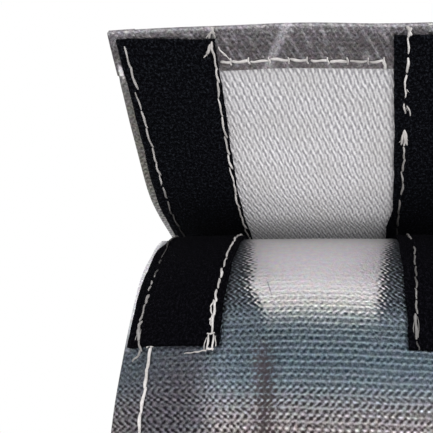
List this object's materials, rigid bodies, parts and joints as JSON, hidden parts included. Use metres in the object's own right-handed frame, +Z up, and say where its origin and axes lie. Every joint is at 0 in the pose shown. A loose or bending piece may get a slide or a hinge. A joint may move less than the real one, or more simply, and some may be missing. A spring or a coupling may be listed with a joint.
{
  "type": "lipo battery safe bag",
  "caption": "Tall foil-cloth pouch for charging and storing lithium polymer batteries, with a curling hook-and-loop flap that is held half open.",
  "frame": {"origin": "on the ground, in the middle of the pouch's width and depth", "axes": "+X to the right as seen from the front, +Y to the back, +Z up"},
  "size_m": [0.08, 0.0667, 0.2285],
  "materials": {
    "foil_cloth": "aluminium foil bonded to glass cloth, the weave showing through",
    "glass_cloth": "bare white glass cloth, twill weave",
    "hook_tape": "woven nylon hook tape, black",
    "loop_tape": "napped nylon loop tape, black",
    "thread": "off-white spun polyester sewing thread"
  },
  "bodies": {
    "pouch": {"front_panel": "foil_cloth", "back_panel": "foil_cloth", "front_lining": "glass_cloth", "back_lining": "glass_cloth", "left_gusset": "foil_cloth", "left_gusset_lining": "glass_cloth", "right_gusset": "foil_cloth", "right_gusset_lining": "glass_cloth", "bottom_panel": "foil_cloth", "bottom_lining": "glass_cloth", "front_seam_stitching_left": "thread", "front_seam_stitching_right": "thread", "back_seam_stitching_left": "thread", "back_seam_stitching_right": "thread"},
    "mouth": {"mouth_panel": "foil_cloth", "mouth_lining": "glass_cloth", "mouth_hem_stitching": "thread", "loop_tape_left": "loop_tape", "loop_tape_right": "loop_tape", "loop_stitching_left_inner": "thread", "loop_stitching_left_outer": "thread", "loop_stitching_right_inner": "thread", "loop_stitching_right_outer": "thread"},
    "flap_base": {"flap_base_cloth": "foil_cloth", "flap_base_lining": "glass_cloth", "hook_tape_left_base": "hook_tape", "hook_tape_right_base": "hook_tape", "hook_stitching_left_inner_base": "thread", "hook_stitching_left_outer_base": "thread", "hook_stitching_right_inner_base": "thread", "hook_stitching_right_outer_base": "thread"},
    "flap_lower": {"flap_lower_cloth": "foil_cloth", "flap_lower_lining": "glass_cloth", "hook_tape_left_lower": "hook_tape", "hook_tape_right_lower": "hook_tape", "hook_stitching_left_inner_lower": "thread", "hook_stitching_left_outer_lower": "thread", "hook_stitching_right_inner_lower": "thread", "hook_stitching_right_outer_lower": "thread"},
    "flap_upper": {"flap_upper_cloth": "foil_cloth", "flap_upper_lining": "glass_cloth", "hook_tape_left_upper": "hook_tape", "hook_tape_right_upper": "hook_tape", "hook_stitching_left_inner_upper": "thread", "hook_stitching_left_outer_upper": "thread", "hook_stitching_right_inner_upper": "thread", "hook_stitching_right_outer_upper": "thread"},
    "flap_end": {"flap_end_cloth": "foil_cloth", "flap_end_lining": "glass_cloth", "hook_tape_left_end": "hook_tape", "hook_tape_right_end": "hook_tape", "hook_stitching_left_inner_end": "thread", "hook_stitching_left_outer_end": "thread", "hook_stitching_right_inner_end": "thread", "hook_stitching_right_outer_end": "thread", "flap_hem_stitching": "thread"}
  },
  "joints": [
    {"name": "flap_lift", "type": "hinge", "parent": "pouch", "child": "flap_base", "pos_m": [0, 0.0304, 0.1839], "axis": [-1, 0, 0], "range_deg": [0, 175]},
    {"name": "mouth_open", "type": "hinge", "parent": "pouch", "child": "mouth", "pos_m": [0, -0.0276, 0.1552], "axis": [1, 0, 0], "range_deg": [0, 47.25]},
    {"name": "flap_curl", "type": "hinge", "parent": "flap_base", "child": "flap_lower", "pos_m": [0, 0.0176, 0.18755], "axis": [1, 0, 0], "range_deg": [-5, 31]},
    {"name": "flap_curl_upper", "type": "hinge", "parent": "flap_lower", "child": "flap_upper", "pos_m": [0, 0.00179, 0.19833], "axis": [1, 0, 0], "range_deg": [-8.25, 51.15]},
    {"name": "flap_curl_end", "type": "hinge", "parent": "flap_upper", "child": "flap_end", "pos_m": [0, -0.01011, 0.21212], "axis": [1, 0, 0], "range_deg": [-6.25, 38.75]}
  ],
  "couplings": [
    {"joint": "mouth_open", "follows": "flap_lift", "ratio": 0.27},
    {"joint": "flap_curl_upper", "follows": "flap_curl", "ratio": 1.65},
    {"joint": "flap_curl_end", "follows": "flap_curl", "ratio": 1.25}
  ]
}
